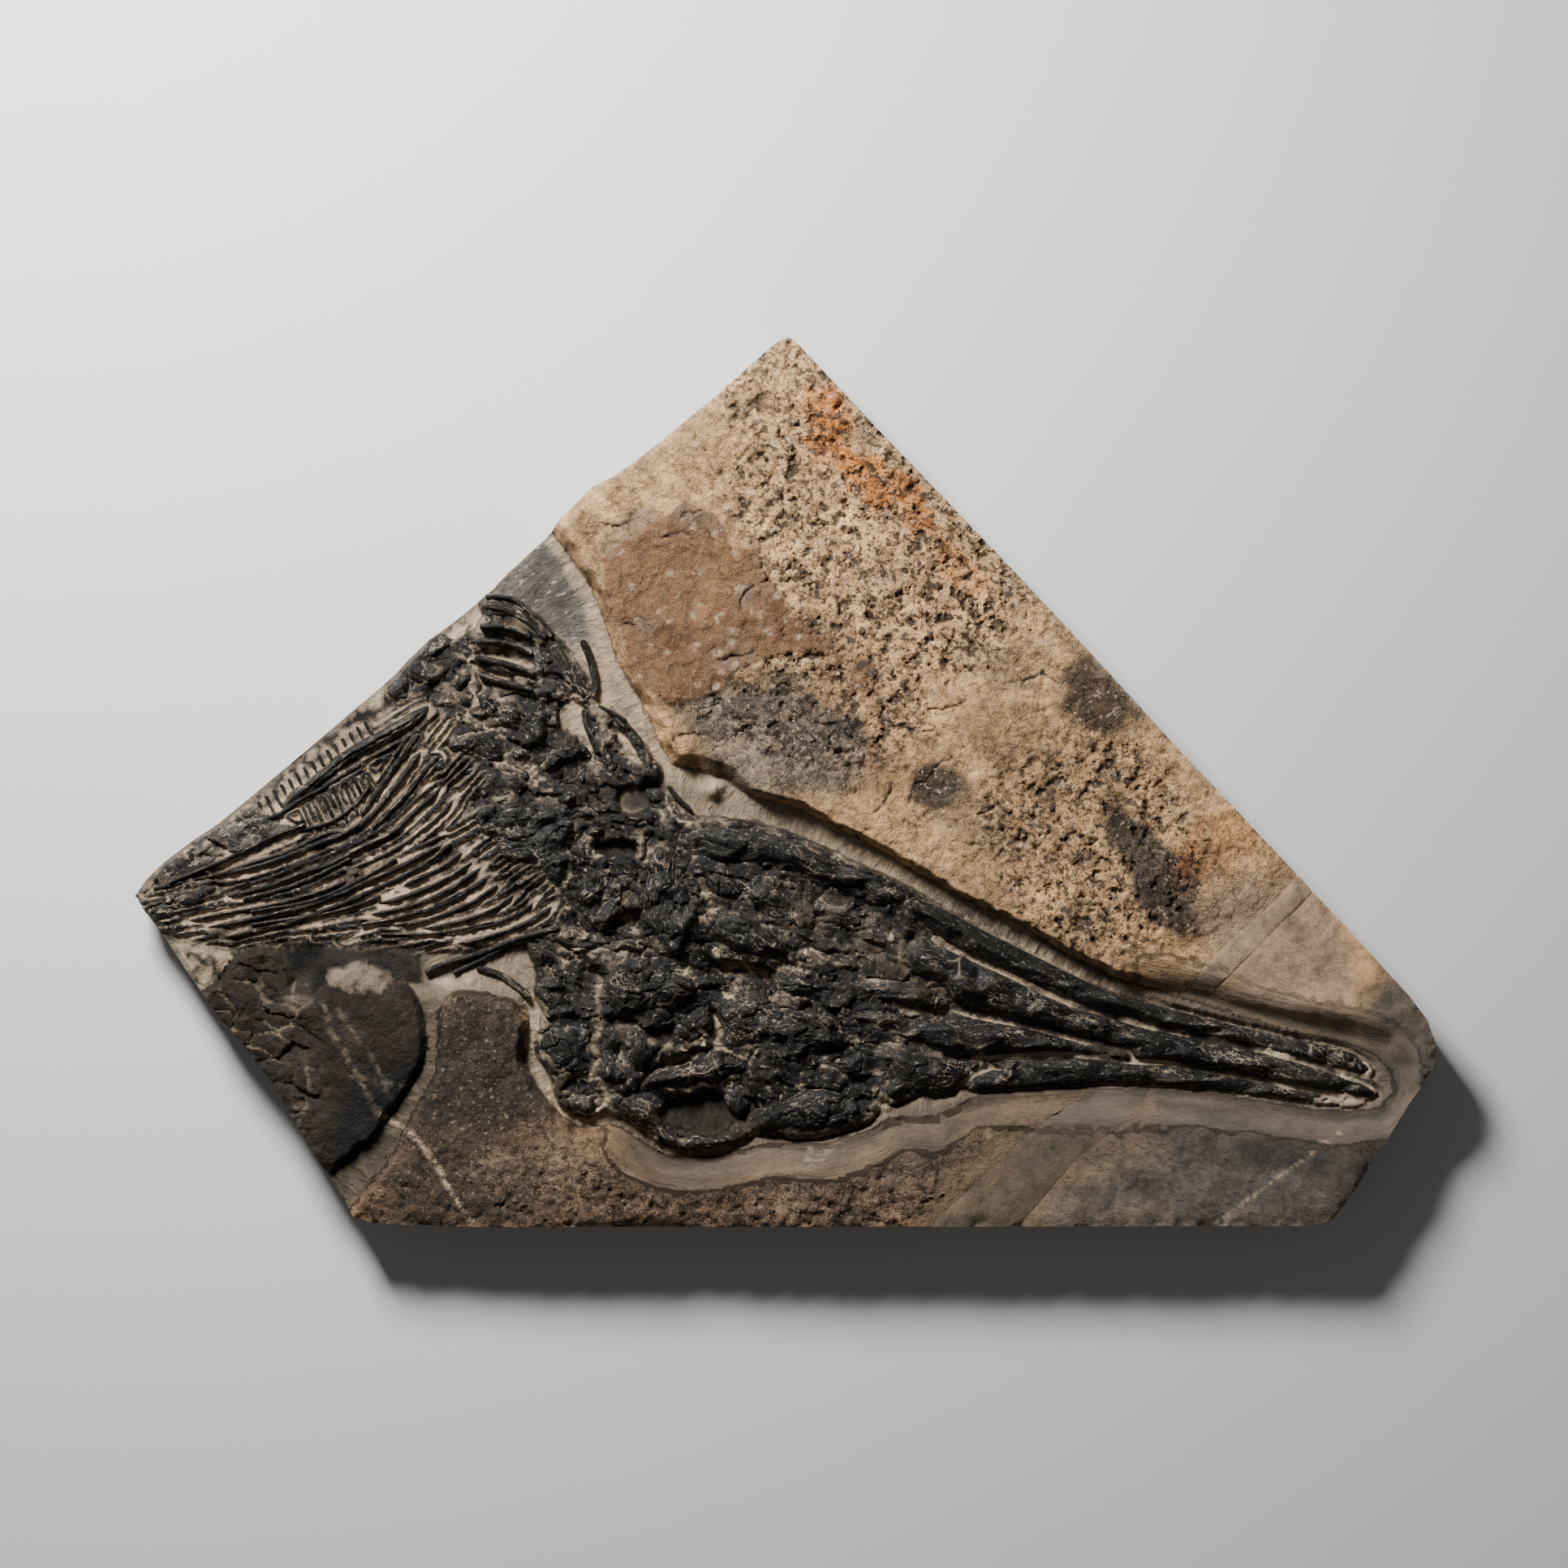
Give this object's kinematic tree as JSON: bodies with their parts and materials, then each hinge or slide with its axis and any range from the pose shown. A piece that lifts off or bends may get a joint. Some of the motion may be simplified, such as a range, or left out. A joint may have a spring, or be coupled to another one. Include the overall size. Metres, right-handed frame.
{
  "type": "fossil ichthyosaur skeleton",
  "caption": "Stone slab with a crushed marine reptile skull, long jaws, neck bones and a fan of ribs, lying flat on its back.",
  "frame": {"origin": "middle of the bounding box at the slab's flat underside", "axes": "+X to the right along the longest extent, towards the snout's side; +Y up the slab towards its apex; +Z out of the fossil's face, upwards as it lies"},
  "size_m": [0.8034, 0.548, 0.0519],
  "materials": {
    "slab_stone": "matte",
    "sanded_stone": "matte",
    "repair_filler": "matte",
    "fossil_bone": "satin",
    "grey_bone": "satin"
  },
  "bodies": {
    "root": {"slab_main": "slab_stone", "slab_snout_end": "sanded_stone", "repair_filler": "repair_filler", "upper_jaw_bar": "fossil_bone", "middle_jaw_bar": "fossil_bone", "lower_jaw_bar": "fossil_bone", "jaw_side_plate": "fossil_bone", "jaw_flake": "fossil_bone", "jaw_angle_plate": "fossil_bone", "cheek_fan": "fossil_bone", "post_eye_plate": "fossil_bone", "eye_ring_front": "fossil_bone", "cheek_ridge": "fossil_bone", "jaw_joint_plate": "fossil_bone", "rear_jaw_plate": "fossil_bone", "hollow_rim": "fossil_bone", "hollow_strut": "fossil_bone", "cheek_lumps": "fossil_bone", "braincase_mass": "fossil_bone", "temple_rim": "fossil_bone", "nape_mass": "fossil_bone", "throat_bar": "fossil_bone", "neck_block": "fossil_bone", "side_bars": "fossil_bone", "lobed_plate_upper": "fossil_bone", "lobed_plate_lower": "fossil_bone", "rear_cheek_mass": "fossil_bone", "ossicles": "fossil_bone", "edge_block": "fossil_bone", "smooth_block": "fossil_bone", "edge_vertebra": "fossil_bone", "vertebra_row_a": "fossil_bone", "vertebra_row_b": "fossil_bone", "vertebra_row_c": "fossil_bone", "shoulder_plate_a": "fossil_bone", "shoulder_plate_b": "fossil_bone", "fin_mass": "fossil_bone", "claw_bone_outer": "fossil_bone", "claw_bone_inner": "fossil_bone", "small_neck_bone": "fossil_bone", "corner_rib_bundle": "grey_bone", "crushed_corner_mass": "fossil_bone", "short_rib_fan": "grey_bone", "curved_rib_outer": "fossil_bone", "curved_rib_inner": "fossil_bone", "long_rib_1": "fossil_bone", "long_rib_2": "fossil_bone", "long_rib_3": "fossil_bone", "long_rib_4": "fossil_bone", "long_rib_5": "fossil_bone", "fan_rib_01": "fossil_bone", "fan_rib_02": "fossil_bone", "fan_rib_03": "fossil_bone", "fan_rib_04": "fossil_bone", "fan_rib_05": "fossil_bone", "fan_rib_06": "fossil_bone", "fan_rib_07": "fossil_bone", "fan_rib_08": "fossil_bone", "fan_rib_09": "fossil_bone", "fan_rib_10": "fossil_bone"}
  },
  "joints": []
}
